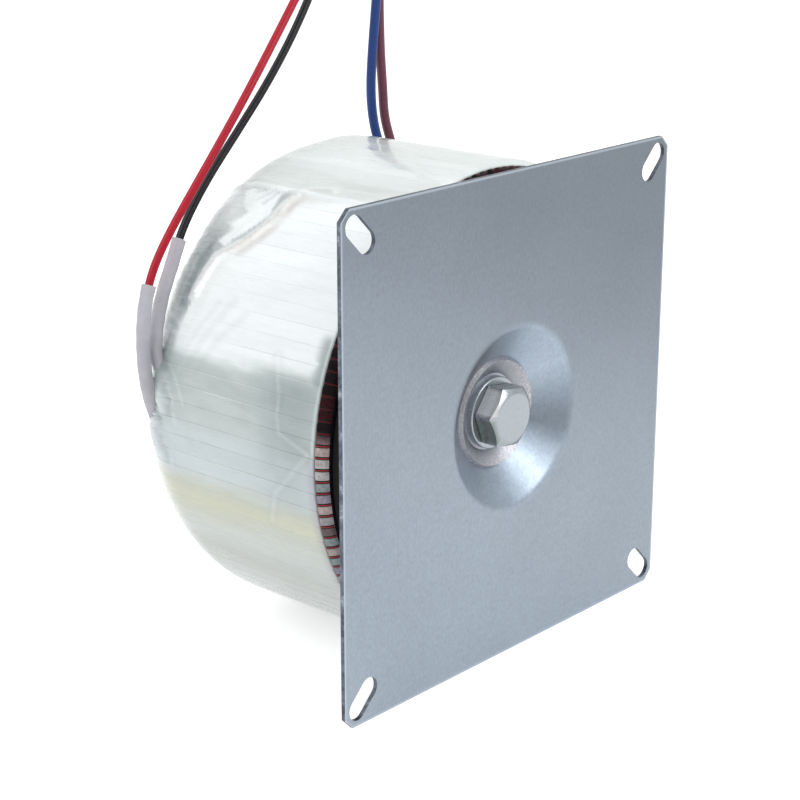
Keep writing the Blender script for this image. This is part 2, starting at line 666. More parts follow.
def extruded_pvc(name, colour, roughness):
    """Extruded PVC: an even colour with a soft gloss and faint dust along it."""
    material, tree, shader, coords = new_material(name)
    cloud = grains(tree, coords, 260.0, 4.0, 0.6)
    tone = spread(tree, cloud, (0.3, 0.7), (0.90, 1.08))
    body = times(tree, colour[:3], tone)
    fine = grains(tree, coords, 1800.0, 3.0)
    bump = bumped(tree, 0.15, 0.00006, fine)
    rough = spread(tree, cloud, end=(roughness - 0.06, roughness + 0.08))
    fill(tree, shader, {
        "Base Color": body, "Normal": bump, "Roughness": rough,
        "Specular IOR Level": 0.3})
    return material


def tinned_copper():
    """Tinned copper strands: dull silver with a little variation from strand to strand."""
    return mottled("tinned_copper_strands", (2600.0, 3.0), [(0.3, "#8F9090"), (0.7, "#D2D2CF")],
                   None, {"Metallic": 1.0, "Roughness": 0.32})


def ring_lines(name, low, high, spacing, metallic, roughness, by_angle):
    """Strip or wire laid in turns: fine lines round the axis, or across it."""
    material, tree, shader, coords = new_material(name)
    parts = parted(tree, coords)
    if by_angle:
        angle = maths(tree, "ARCTAN2", parts["X"], parts["Z"])
        measure = maths(tree, "MULTIPLY", angle, COIL_RADIUS / spacing)
    else:
        measure = maths(tree, "MULTIPLY", from_axis(tree, parts), 1.0 / spacing)
    phase = maths(tree, "PINGPONG", measure, 0.5)
    tone = gradient(tree, phase, [(0.0, low), (0.16, high), (0.5, high)])
    bump = bumped(tree, 0.5, spacing * 0.3, phase)
    fill(tree, shader, {
        "Base Color": tone, "Normal": bump, "Metallic": metallic,
        "Roughness": roughness})
    return material


def moulded_nylon():
    """Moulded nylon: off-white and waxy, with a fine spark-eroded texture."""
    return mottled("moulded_nylon", (1200.0, 4.0), [(0.3, "#D5D0C2"), (0.7, "#E2DED2")],
                   (0.3, 0.0001), {"Roughness": 0.5})


def new_object(name, data):
    """A new object at the origin, in the scene."""
    obj = bpy.data.objects.new(name, data)
    bpy.context.collection.objects.link(obj)
    return obj


def mesh_object(name, points, faces):
    """A mesh object from plain lists of points and faces."""
    mesh = bpy.data.meshes.new(name)
    mesh.from_pydata([tuple(point) for point in points], [], faces)
    mesh.update()
    return new_object(name, mesh)


def ring_faces(near, far, sides):
    """Faces between two rings of points, given by the first point of each."""
    return [(near + side, near + (side + 1) % sides, far + (side + 1) % sides, far + side)
            for side in range(sides)]


def settle(obj):
    """Turns what an object's modifiers make into its own plain mesh."""
    graph = bpy.context.evaluated_depsgraph_get()
    result = bpy.data.meshes.new_from_object(obj.evaluated_get(graph))
    old = obj.data
    obj.modifiers.clear()
    obj.data = result
    result.name = obj.name
    bpy.data.meshes.remove(old)
    return obj


def face_out(obj, merge=0.0):
    """Merges doubles and points every face of a closed shell outwards."""
    shell = bmesh.new()
    shell.from_mesh(obj.data)
    if merge:
        bmesh.ops.remove_doubles(shell, verts=shell.verts, dist=merge)
    bmesh.ops.recalc_face_normals(shell, faces=shell.faces)
    shell.to_mesh(obj.data)
    shell.free()
    obj.data.update()


def smooth(obj, degrees):
    """Smooth shading, with edges sharper than the angle kept crisp."""
    obj.data.shade_smooth()
    obj.data.set_sharp_from_angle(angle=math.radians(degrees))


def run_tree(obj, tree, values):
    """Puts a geometry tree on an object with its inputs set by socket identifier."""
    modifier = obj.modifiers.new(tree.name, "NODES")
    modifier.node_group = tree
    sockets = {item.name: item.identifier for item in tree.interface.items_tree
               if item.item_type == "SOCKET" and item.in_out == "INPUT"}
    for name, value in values.items():
        modifier[sockets[name]] = value
    return settle(obj)


def ring_tree(name, inputs):
    """An empty geometry tree with named inputs and its group nodes."""
    tree = bpy.data.node_groups.new(name, "GeometryNodeTree")
    tree.interface.new_socket("Geometry", in_out="OUTPUT", socket_type="NodeSocketGeometry")
    tree.interface.new_socket("Geometry", in_out="INPUT", socket_type="NodeSocketGeometry")
    for label, kind in inputs:
        tree.interface.new_socket(label, in_out="INPUT", socket_type=kind)
    given = add_node(tree, "NodeGroupInput").outputs
    return tree, given, add_node(tree, "NodeGroupOutput")


def round_copies(tree, count, axis, piece):
    """Copies of a piece turned evenly round an axis, and the index of each."""
    points = first_output(tree, "GeometryNodePoints", inputs={"Count": count})
    index = first_output(tree, "GeometryNodeInputIndex")
    pitch = maths(tree, "DIVIDE", 2 * math.pi, count)
    turned = maths(tree, "MULTIPLY", index, pitch)
    rotation = first_output(tree, "ShaderNodeCombineXYZ", inputs={axis: turned})
    copies = first_output(tree, "GeometryNodeInstanceOnPoints", inputs={
        "Points": points, "Instance": piece, "Rotation": rotation})
    return copies, index


def joined(tree, first, second):
    """Two geometries as one."""
    both = add_node(tree, "GeometryNodeJoinGeometry", inputs={0: first})
    tree.links.new(second, both.inputs[0])
    return both.outputs[0]


def given_out(tree, geometry, finish, out):
    """Gives a tree's geometry its finish and hands it out."""
    finished = first_output(tree, "GeometryNodeSetMaterial", inputs={
        "Geometry": geometry, "Material": finish})
    tree.links.new(finished, out.inputs[0])
    return tree


def spaced_ring(name, tone_name, seed):
    """Geometry tree: copies of the input turned about the Y axis, each with its own tone."""
    tree, given, out = ring_tree(name, (
        ("Count", "NodeSocketInt"), ("Rise", "NodeSocketFloat"),
        ("Finish", "NodeSocketMaterial")))
    copies, index = round_copies(tree, given["Count"], "Y", given["Geometry"])
    chance = add_node(tree, "FunctionNodeRandomValue", {"data_type": "FLOAT"},
                      {"ID": index, "Seed": seed})
    toned = first_output(tree, "GeometryNodeStoreNamedAttribute",
                         {"data_type": "FLOAT", "domain": "INSTANCE"},
                         {"Geometry": copies, "Name": tone_name,
                          "Value": chance.outputs[1]})
    solid = first_output(tree, "GeometryNodeRealizeInstances", inputs={0: toned})
    lift = first_output(tree, "ShaderNodeCombineXYZ", inputs={"Z": given["Rise"]})
    raised = first_output(tree, "GeometryNodeTransform", inputs={
        "Geometry": solid, "Translation": lift})
    return given_out(tree, raised, given["Finish"], out)


def round_point(reach, along, turn):
    """A point at an angle round the Y axis, from the top towards +X."""
    return (reach * math.sin(turn), along, reach * math.cos(turn))


def film_section():
    """Outline of the film's ring as radius, distance along the axis and share of lift."""
    spots = []

    def walk(count, place, first_lift, last_lift):
        for step in range(count):
            share = step / count
            spots.append((*place(share), first_lift + (last_lift - first_lift) * share))

    def arc(centre, radius, start, turn, count, first_lift, last_lift):
        def place(share):
            angle = math.radians(start + turn * share)
            return centre[0] + radius * math.cos(angle), centre[1] + radius * math.sin(angle)
        walk(count, place, first_lift, last_lift)

    def run(start, end, count, first_lift, last_lift):
        def place(share):
            return (start[0] + (end[0] - start[0]) * share,
                    start[1] + (end[1] - start[1]) * share)
        walk(count, place, first_lift, last_lift)

    front, rear = COIL_FRONT, COIL_REAR
    outer, inner = COIL_RADIUS, BORE_RADIUS
    run((inner + BORE_FRONT_CORNER, front), (outer - FRONT_CORNER, front), 9, 0.0, 0.0)
    arc((outer - FRONT_CORNER, front + FRONT_CORNER), FRONT_CORNER, 270, 90, 7, 0.0, 1.0)
    run((outer, front + FRONT_CORNER), (outer, rear - REAR_CORNER), 66, 1.0, 1.0)
    arc((outer - REAR_CORNER, rear - REAR_CORNER), REAR_CORNER, 0, 90, 20, 1.0, 0.0)
    run((outer - REAR_CORNER, rear), (inner + BORE_REAR_CORNER, rear), 6, 0.0, 0.0)
    arc((inner + BORE_REAR_CORNER, rear - BORE_REAR_CORNER), BORE_REAR_CORNER, 90, 90, 5, 0.0, 0.0)
    run((inner, rear - BORE_REAR_CORNER), (inner, front + BORE_FRONT_CORNER), 4, 0.0, 0.0)
    arc((inner + BORE_FRONT_CORNER, front + BORE_FRONT_CORNER), BORE_FRONT_CORNER, 180, 90, 4,
        0.0, 0.0)
    return spots


def tape_turn(lap_count, lift):
    """One turn of tape through the bore: a wedge that rises to its edge and steps down."""
    section = film_section()
    pitch = 2 * math.pi / lap_count
    columns = [(pitch * step / 7, step / 7) for step in range(8)] + [(pitch, 0.0)]
    points, faces = [], []
    count = len(section)
    for turn, rise in columns:
        for index, (radius, along, share) in enumerate(section):
            before, after = section[index - 1], section[(index + 1) % count]
            run = Vector((after[0] - before[0], after[1] - before[1]))
            normal = Vector((run.y, -run.x)).normalized()
            reach = radius + normal.x * rise * share * lift
            points.append(round_point(reach, along + normal.y * rise * share * lift, turn))
    for column in range(len(columns) - 1):
        for index in range(count):
            after = (index + 1) % count
            flat = section[index][2] == 0.0 and section[after][2] == 0.0
            if column == len(columns) - 2 and flat:
                continue
            near, far = column * count, (column + 1) * count
            faces.append((near + index, near + after, far + after, far + index))
    return points, faces


def path_distance(across, along, path):
    """Distance from points of the film to a crease, with its side, both in millimetres."""
    best = np.full(across.shape, 1e9)
    side = np.ones(across.shape)
    for (first_angle, first_along), (second_angle, second_along) in zip(path, path[1:]):
        start = np.array((first_angle * SIDE_DEGREE, first_along))
        end = np.array((second_angle * SIDE_DEGREE, second_along))
        run = end - start
        share = ((across - start[0]) * run[0] + (along - start[1]) * run[1]) / run.dot(run)
        share = np.clip(share, 0.0, 1.0)
        off_across = across - (start[0] + run[0] * share)
        off_along = along - (start[1] + run[1] * share)
        gap = np.hypot(off_across, off_along)
        nearer = gap < best
        best = np.where(nearer, gap, best)
        side = np.where(nearer, np.sign(run[0] * off_along - run[1] * off_across), side)
    return best, side


def within(degrees, along, outline):
    """One for the points of the film inside a closed outline, and nought for the rest."""
    crossings = np.zeros(degrees.shape, dtype=int)
    for (turn, depth), (next_turn, next_depth) in zip(outline, outline[1:] + outline[:1]):
        if turn == next_turn:
            continue
        spans = (degrees >= min(turn, next_turn)) & (degrees < max(turn, next_turn))
        met = depth + (degrees - turn) * (next_depth - depth) / (next_turn - turn)
        crossings += spans & (along < met)
    return (crossings % 2).astype(float)


def hump(distance, width):
    """A smooth rise that fades with distance."""
    return np.exp(-(distance / width) ** 2)


def step_up(value, low, high):
    """Smooth change from nought to one between two limits."""
    share = np.clip((value - low) / (high - low), 0.0, 1.0)
    return share * share * (3 - 2 * share)


def film_noise(across, along, scale, seed):
    """Repeatable soft noise over the film's surface, about nought."""
    return np.array([noise.noise(Vector((a / scale[0], b / scale[1], seed)))
                     for a, b in zip(across, along)])


class FilmSurface:
    """Places on the wound film, with the relief and tones that are laid on it one by one.

    Across is the distance round the coil from its top, and along that from the plate's face.
    """

    def __init__(self, spots):
        self.height = spots[:, 2] - COIL_RISE
        self.radius = np.hypot(spots[:, 0], self.height)
        self.degrees = np.degrees(np.arctan2(-spots[:, 0], self.height))
        self.across = self.degrees * SIDE_DEGREE
        # Straight on the side, round the rear corner, then inwards
        centre = COIL_REAR - REAR_CORNER
        self.past = spots[:, 1] - centre
        self.rear_angle = np.arctan2(self.past, np.maximum(self.radius - REAR_FLAT, 1e-6))
        self.on_rear = (self.past > 0) & (self.radius > REAR_FLAT)
        on_face = (self.past > 0) & (self.radius <= REAR_FLAT)
        self.rear_end = (centre + REAR_CORNER * math.pi / 2) / MM
        along = np.where(self.on_rear, (centre + REAR_CORNER * self.rear_angle) / MM,
                         spots[:, 1] / MM)
        self.along = np.where(on_face, self.rear_end + (REAR_FLAT - self.radius) / MM, along)
        self.relief, self.shade, self.edge, self.gloss = np.zeros((4, len(spots)))

    def soft(self, wide, deep, seed):
        """Repeatable soft noise over the surface, about nought."""
        return film_noise(self.across, self.along, (wide, deep), seed)

    def near(self, path):
        """Distance from a crease, and on which side of it."""
        return path_distance(self.across, self.along, path)


def rise_and_fall(value, first, second, third, fourth):
    """One between the second and third limits, and nought before the first and past the last."""
    return step_up(value, first, second) * (1 - step_up(value, third, fourth))


def gather_pleats(film):
    """Slack between the turns, and pleats where the tape gathers round the rear corner."""
    film.relief += 0.10 * film.soft(7.0, 16.0, 1.7)
    film.relief += 0.05 * film.soft(2.2, 7.0, 4.1)
    gather = step_up(film.along, 47.0, 54.0)
    pleat = film.soft(1.25, 9.0, 9.3)
    film.relief += 0.09 * gather * pleat
    film.shade += 0.14 * gather * np.clip(pleat * 1.8, 0.0, 1.0)


def raise_top_edge(film):
    """The raised edge where the top layer ends, along the axis."""
    top_edge = np.abs(film.across - TOP_EDGE)
    reach = step_up(film.along, 8.0, 14.0)
    film.relief += 0.32 * hump(top_edge, 0.42) * reach
    film.relief -= 0.22 * rise_and_fall(film.across, 26.3, 27.0, 60.0, 75.0)
    film.gloss += 0.9 * hump(top_edge, 0.4) * reach


def crumple_fold(film, fold_height):
    """The long crumpled fold, with its shadow on the rear side."""
    distance, side = film.near(FOLD_LINE)
    tallness = fold_height / MM
    ragged = 1 + 0.3 * film.soft(4.6, 5.0, 6.6)
    behind = np.where(side > 0, 1.0, 0.0)
    crest = hump(distance, 1.0)
    valley = hump(distance - 2.1, 2.3) * behind * step_up(film.degrees, 27.0, 31.0)
    film.relief += 0.6 * tallness * crest * ragged - 0.3 * tallness * valley * ragged
    film.shade += 0.42 * valley * ragged
    tinted = rise_and_fall(film.degrees, 27.0, 31.0, 47.0, 50.0)
    patchy = np.clip(0.75 + 0.6 * film.soft(3.4, 2.6, 40.7), 0.35, 1.0)
    film.edge += 0.8 * tinted * (1 - behind) * (1 - step_up(distance, 2.4, 4.4)) * patchy
    film.edge += 0.4 * (1 - behind) * hump(distance, 1.1)
    film.gloss += 0.15 * tinted * hump(distance - 0.6, 0.8) * (1 - behind)
    return distance, behind


def crush_film(film, distance, behind):
    """Crushed film between the fold and the rear corner: grey-green with glossy patches."""
    crushed = behind * rise_and_fall(distance, 1.2, 2.4, 13.0, 17.0)
    crushed = crushed * rise_and_fall(film.degrees, 27.0, 29.0, 50.0, 70.0)
    lumps = film.soft(4.2, 3.0, 12.4)
    film.relief += 0.12 * crushed * lumps
    film.shade += 0.3 * crushed * (1.1 - 0.7 * lumps)
    inside = within(film.degrees, film.along, GLOSSY_PATCH)
    distance = film.near(GLOSSY_PATCH + GLOSSY_PATCH[:1])[0]
    patch = inside * step_up(distance, 0.0, 0.5)
    film.gloss += 0.9 * patch
    film.relief += 0.12 * patch
    for path in PLEATS:
        distance = film.near(path)[0]
        film.relief -= 0.2 * hump(distance, 0.5)
        film.gloss -= 0.8 * hump(distance, 0.5)


def bead_corner(film):
    """Beads along the rear corner beside the bright side."""
    beads = rise_and_fall(film.degrees, 38.0, 44.0, 74.0, 80.0)
    beads = beads * step_up(film.along, 50.5, 53.0)
    bead = film.soft(0.9, 3.4, 15.8)
    film.relief += 0.12 * beads * bead
    film.shade += beads * (0.42 + 0.35 * bead)


def smudge_bands(film):
    """Smudges in the grey band and the ragged end of the bright one beside the plate."""
    smudge = film.soft(3.0, 6.5, 21.5)
    band = rise_and_fall(film.degrees, 70.0, 75.0, 84.0, 92.0)
    film.shade += 0.16 * band * step_up(smudge, 0.02, 0.4)
    film.shade += 0.85 * band * hump(film.along - 14.5, 9.0)
    middle = rise_and_fall(film.degrees, 84.0, 90.0, 98.0, 106.0)
    film.shade += 0.5 * middle * hump(film.along - 16.0, 9.0)
    for path, size in SLACK:
        distance = film.near(path)[0]
        film.shade += 0.10 * (1 - step_up(distance, size * 0.4, size * 1.4))
    front_end = rise_and_fall(film.degrees, 60.0, 63.0, 72.0, 76.0)
    front_end = front_end * (1 - step_up(film.along, 9.8, 13.0))
    film.shade += 0.9 * front_end * step_up(smudge, -0.12, 0.1)


def swell_and_pull(film):
    """The top stands a little higher beside the blue and brown leads.

    The rear corner is pulled in a little beside the bright side.
    """
    film.relief += 0.5 * rise_and_fall(-film.degrees, -2.0, 8.0, 20.0, 38.0)
    pulled = rise_and_fall(film.degrees, 36.0, 44.0, 70.0, 78.0)
    film.relief -= 0.45 * step_up(film.along, 48.0, 56.0) * pulled


def lay_creases(film):
    """Fine creases, bright along their crest."""
    for path in CREASES:
        distance = film.near(path)[0]
        film.relief += 0.04 * hump(distance, 0.5)
        film.gloss += 0.16 * hump(distance, 0.32)
        film.shade += 0.10 * hump(distance - 1.0, 0.8)


def draw_over_leads(film):
    """Film drawn over the sleeves and leads where they come out."""
    wrinkle = film.soft(0.8, 2.6, 30.2)
    for path in BULGES:
        distance = film.near(path)[0]
        rise = hump(distance, 1.9)
        film.relief += 1.25 * rise + 0.5 * wrinkle * hump(distance - 2.4, 1.6)
        film.shade += 0.5 * hump(distance - 2.2, 0.9)
        film.gloss += 0.4 * rise


def press_lower_side(film):
    """The turns lie flatter on the lower side, where the coil's weight presses them."""
    lift = np.where(film.on_rear, np.hypot(film.radius - REAR_FLAT, film.past)
                    - REAR_CORNER, film.radius - COIL_RADIUS) / MM
    lower = step_up(film.degrees, 92.0, 108.0) + step_up(-film.degrees, 92.0, 108.0)
    film.relief = film.relief * (1 - 0.9 * lower) - 0.86 * lift * lower


def crumple_film(obj, fold_height):
    """Moves the film's surface into its folds and pleats, and marks where they lie."""
    mesh = obj.data
    flat = np.empty(len(mesh.vertices) * 3)
    mesh.vertices.foreach_get("co", flat)
    spots = flat.reshape(-1, 3)
    film = FilmSurface(spots)
    outer = (film.radius > REAR_FLAT) & (spots[:, 1] > COIL_FRONT + FRONT_CORNER * 0.98)
    to_rear = 1 - step_up(film.along, film.rear_end - 8, film.rear_end)
    weight = outer * step_up(film.along, 8.6, 9.8) * to_rear

    gather_pleats(film)
    raise_top_edge(film)
    distance, behind = crumple_fold(film, fold_height)
    crush_film(film, distance, behind)
    bead_corner(film)
    smudge_bands(film)
    swell_and_pull(film)
    lay_creases(film)
    draw_over_leads(film)
    press_lower_side(film)

    move = film.relief * weight * MM
    radial = np.where(film.on_rear, np.cos(film.rear_angle), 1.0)
    spots[:, 0] += move * radial * (spots[:, 0] / film.radius)
    spots[:, 2] += move * radial * (film.height / film.radius)
    spots[:, 1] += move * np.where(film.on_rear, np.sin(film.rear_angle), 0.0)
    mesh.vertices.foreach_set("co", spots.reshape(-1))
    seen = (film.radius > REAR_FLAT) * step_up(film.along, 6.0, 7.0) * to_rear
    for name, values in (("fold_shade", film.shade), ("fold_edge", film.edge),
                         ("fold_gloss", film.gloss)):
        layer = mesh.attributes.new(name, "FLOAT", "POINT")
        layer.data.foreach_set("value", np.clip(values * seen, 0.0, 1.0).astype(np.float32))
    mesh.update()


class TRANSFORMER_OT_camera(bpy.types.Operator):
    """Places the camera where the plate, the coil's side and the leads show"""
    bl_idname = "transformer.camera"
    bl_label = "Camera"

    def execute(self, context):
        settings = context.scene.transformer_stage
        turn, rise = settings.azimuth, settings.elevation
        back = Vector((math.sin(turn) * math.cos(rise), -math.cos(turn) * math.cos(rise),
                       math.sin(rise)))
        right = Vector((math.cos(turn), math.sin(turn), 0.0))
        up = back.cross(right)
        place = back * settings.distance + right * settings.slide + up * settings.lift
        data = bpy.data.cameras.new("camera")
        data.lens = settings.lens
        data.sensor_width = 36.0
        data.clip_start = 0.01
        camera = new_object("camera", data)
        axes = Matrix((right, up, back)).transposed().to_4x4()
        camera.matrix_world = Matrix.Translation(place) @ axes
        context.scene.camera = camera
        return {"FINISHED"}


def lead_curve(name, points, radius):
    """A smooth free cord: one NURBS spline with a round section."""
    data = bpy.data.curves.new(name, "CURVE")
    data.dimensions = "3D"
    spline = data.splines.new("NURBS")
    spline.points.add(len(points) - 1)
    for point, spot in zip(spline.points, points):
        point.co = (spot[0] * MM, spot[1] * MM, spot[2] * MM, 1.0)
    spline.order_u = 3
    spline.use_endpoint_u = True
    spline.resolution_u = 12
    data.resolution_u = 12
    data.bevel_depth = radius
    data.bevel_resolution = 6
    data.use_fill_caps = radius > 0
    return data


def centreline(colour):
    """Points along a lead's own spline, read from it as a curve with no bevel."""
    bare = bpy.data.objects.new("centreline", lead_curve("centreline", ROUTES[colour], 0.0))
    bpy.context.collection.objects.link(bare)
    graph = bpy.context.evaluated_depsgraph_get()
    mesh = bpy.data.meshes.new_from_object(bare.evaluated_get(graph))
    spots = [vertex.co.copy() for vertex in mesh.vertices]
    bpy.data.meshes.remove(mesh)
    bpy.data.objects.remove(bare)
    return spots


def tube_rings(spots, rings, sides):
    """Points of rings round a path; rings are pairs of place on the path and radius."""
    points = []
    heading = (spots[1] - spots[0]).normalized()
    across = heading.orthogonal().normalized()
    frames = []
    for index, spot in enumerate(spots):
        before = spots[max(index - 1, 0)]
        after = spots[min(index + 1, len(spots) - 1)]
        heading = (after - before).normalized()
        across = (across - heading * across.dot(heading)).normalized()
        frames.append((spot, across.copy(), heading.cross(across)))
    for place, radius in rings:
        spot, first, second = frames[place]
        for side in range(sides):
            turn = 2 * math.pi * side / sides
            points.append(spot + (first * math.cos(turn) + second * math.sin(turn)) * radius)
    return points


def sleeve_object(colour, outer, inner, name):
    """An open sleeve with a wall, over the first stretch of a lead."""
    spots = centreline(colour)
    covered = []
    for spot in spots:
        covered.append(spot)
        if spot.z > SLEEVE_TOP[colour]:
            break
    last = len(covered) - 1
    rings = [(index, outer * (1 + 0.02 * math.sin(index * 0.9))) for index in range(last)]
    rings += [(last, outer * 1.02), (last, (outer + inner) / 2 * 1.02), (last, inner)]
    rings += [(index, inner) for index in range(last - 1, -1, -1)]
    sides = 28
    points = tube_rings(covered, rings, sides)
    faces = []
    for ring in range(len(rings)):
        faces += ring_faces(ring * sides, ((ring + 1) % len(rings)) * sides, sides)
    sleeve = mesh_object(name, points, faces)
    face_out(sleeve)
    smooth(sleeve, 50)
    return sleeve


def strand_tree():
    """Geometry tree: strands laid round a straight one, as in stranded wire."""
    tree, given, out = ring_tree("twisted_strands", (
        ("Strands", "NodeSocketInt"), ("Strand Radius", "NodeSocketFloat"),
        ("Length", "NodeSocketFloat"), ("Finish", "NodeSocketMaterial")))
    lay = maths(tree, "MULTIPLY", given["Strand Radius"], 2.0)
    helix = first_output(tree, "GeometryNodeCurveSpiral", inputs={
        "Resolution": 16, "Rotations": 0.8, "Start Radius": lay,
        "End Radius": lay, "Height": given["Length"]})
    copies = round_copies(tree, given["Strands"], "Z", helix)[0]
    top = first_output(tree, "ShaderNodeCombineXYZ", inputs={"Z": given["Length"]})
    core = first_output(tree, "GeometryNodeCurvePrimitiveLine", inputs={"End": top})
    solid = first_output(tree, "GeometryNodeRealizeInstances",
                         inputs={0: joined(tree, copies, core)})
    ring = first_output(tree, "GeometryNodeCurvePrimitiveCircle", inputs={
        "Resolution": 10, "Radius": given["Strand Radius"]})
    tubes = first_output(tree, "GeometryNodeCurveToMesh", inputs={
        "Curve": solid, "Profile Curve": ring, "Fill Caps": True})
    return given_out(tree, tubes, given["Finish"], out)


class TRANSFORMER_OT_leads(bpy.types.Operator):
    """Makes the four leads, their two sleeves and their bared ends"""
    bl_idname = "transformer.leads"
    bl_label = "Leads and sleeves"

    def execute(self, context):
        settings = context.scene.transformer_leads
        tin = tinned_copper()
        sleeve_finish = extruded_pvc("white_pvc_sleeving", tuple(settings.sleeve_colour), 0.42)
        strands = strand_tree()
        finishes = {}
        for colour in ROUTES:
            jacket = tuple(getattr(settings, "%s_colour" % colour))
            finishes[colour] = extruded_pvc("%s_pvc_jacket" % colour, jacket, 0.34)
        for colour, finish in finishes.items():
            sleeved = colour in SLEEVE_TOP
            diameter = settings.secondary_diameter if sleeved else settings.primary_diameter
            data = lead_curve("%s_lead" % colour, ROUTES[colour], diameter / 2)
            data.materials.append(finish)
            lead = new_object("%s_lead" % colour, data)
            spots = centreline(colour)

            tip = self.bared_end(settings, strands, tin, colour, spots, diameter)
            if sleeved:
                sleeve = sleeve_object(colour, settings.sleeve_diameter / 2,
                                       diameter / 2 + 0.0001, "%s_sleeve" % colour)
                sleeve.data.materials.append(sleeve_finish)
                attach(sleeve, "root")
                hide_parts("sleeve_%s" % colour)
            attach(lead, "root")
            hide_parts("lead_%s" % colour)
        return {"FINISHED"}

    def bared_end(self, settings, strands, tin, colour, spots, diameter):
        """The last millimetres of a lead: its tinned strands, bare of their jacket."""
        radius = diameter * 0.55 / 2 / 3
        tip = mesh_object("%s_tip" % colour, [(0, 0, 0)], [])
        run_tree(tip, strands, {
            "Strands": settings.strand_count, "Strand Radius": radius,
            "Length": 0.007, "Finish": tin})
        heading = (spots[-1] - spots[-2]).normalized()
        turn = heading.to_track_quat("Z", "Y").to_matrix().to_4x4()
        tip.data.transform(Matrix.Translation(spots[-1]) @ turn)
        face_out(tip)
        smooth(tip, 40)
        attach(tip, "root")
        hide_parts("tip_%s" % colour)
        return tip


class TRANSFORMER_OT_film(bpy.types.Operator):
    """Winds the polyester film round the coil, with its folds and pleats"""
    bl_idname = "transformer.film"
    bl_label = "Film wrap"

    def execute(self, context):
        settings = context.scene.transformer_film
        points, faces = tape_turn(settings.lap_count, settings.lap_lift)
        film = mesh_object("wound_film", points, faces)
        run_tree(film, spaced_ring("tape_turns", "lap_tone", 11), {
            "Count": settings.lap_count, "Rise": COIL_RISE,
            "Finish": polyester_film(settings)})
        face_out(film, merge=0.000004)
        crumple_film(film, settings.fold_height)
        smooth(film, 42)
        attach(film, "root")
        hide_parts("film_wrap")
        return {"FINISHED"}


def wire_bundle(turn_count, wire_diameter):
    """One flat bundle of wires bent over the coil's front edge, with one wire beside it."""
    pitch = 2 * math.pi / turn_count
    centre = (COIL_RADIUS - FRONT_CORNER, COIL_FRONT + FRONT_CORNER)
    path = []
    for step in range(7):
        angle = math.radians(-14 - 46 * step / 6)
        path.append((centre[0] + FRONT_CORNER * math.cos(angle),
                     centre[1] + FRONT_CORNER * math.sin(angle),
                     math.cos(angle), math.sin(angle)))
    points, faces, wires = [], [], []
    columns = ((0.06, 0.0), (0.10, 0.12), (0.3, 0.17), (0.5, 0.18), (0.66, 0.16), (0.78, 0.10),
               (0.82, 0.0))
    for radius, along, out, forward in path:
        for share, rise in columns:
            turn = pitch * share
            reach = radius + out * (rise - 0.04) * MM
            points.append(round_point(reach, along + forward * (rise - 0.04) * MM, turn))
            wires.append(0.0)
    width = len(columns)
    for row in range(len(path) - 1):
        for column in range(width - 1):
            start = row * width + column
            faces.append((start, start + 1, start + width + 1, start + width))
    # The single wire, a half-sunk tube along the same path
    sides = 8
    base = len(points)
    for radius, along, out, forward in path:
        for side in range(sides):
            angle = 2 * math.pi * side / sides
            turn = pitch * 0.93 + wire_diameter / 2 * math.sin(angle) / COIL_RADIUS
            rise = wire_diameter / 2 * math.cos(angle) * 0.9
            reach = radius + out * rise
            points.append(round_point(reach, along + forward * rise, turn))
            wires.append(1.0)
    for row in range(len(path) - 1):
        faces += ring_faces(base + row * sides, base + (row + 1) * sides, sides)
    return points, faces, wires


class TRANSFORMER_OT_winding(bpy.types.Operator):
    """Lays the enamelled wire turns that show at the coil's front edge"""
    bl_idname = "transformer.winding"
    bl_label = "Wire turns"

    def execute(self, context):
        settings = context.scene.transformer_winding
        points, faces, wires = wire_bundle(settings.turn_count, settings.wire_diameter)
        turns = mesh_object("wire_turns", points, faces)
        layer = turns.data.attributes.new("is_wire", "FLOAT", "POINT")
        layer.data.foreach_set("value", np.array(wires, dtype=np.float32))
        run_tree(turns, spaced_ring("wire_ring", "turn_tone", 5), {
            "Count": settings.turn_count, "Rise": COIL_RISE,
            "Finish": enamelled_wire(settings)})
        # Over the top the film reaches further forward and covers the wires' rear ends
        for vertex in turns.data.vertices:
            across, along, up = vertex.co
            bearing = math.degrees(math.atan2(-across, up))
            if abs(bearing) < 40 and along > COIL_FRONT + 0.0016:
                out = math.hypot(across, up - COIL_RISE)
                sink = 1 - 0.0005 / out
                vertex.co = (across * sink, along, COIL_RISE + (up - COIL_RISE) * sink)
        smooth(turns, 35)
        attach(turns, "root")
        return {"FINISHED"}


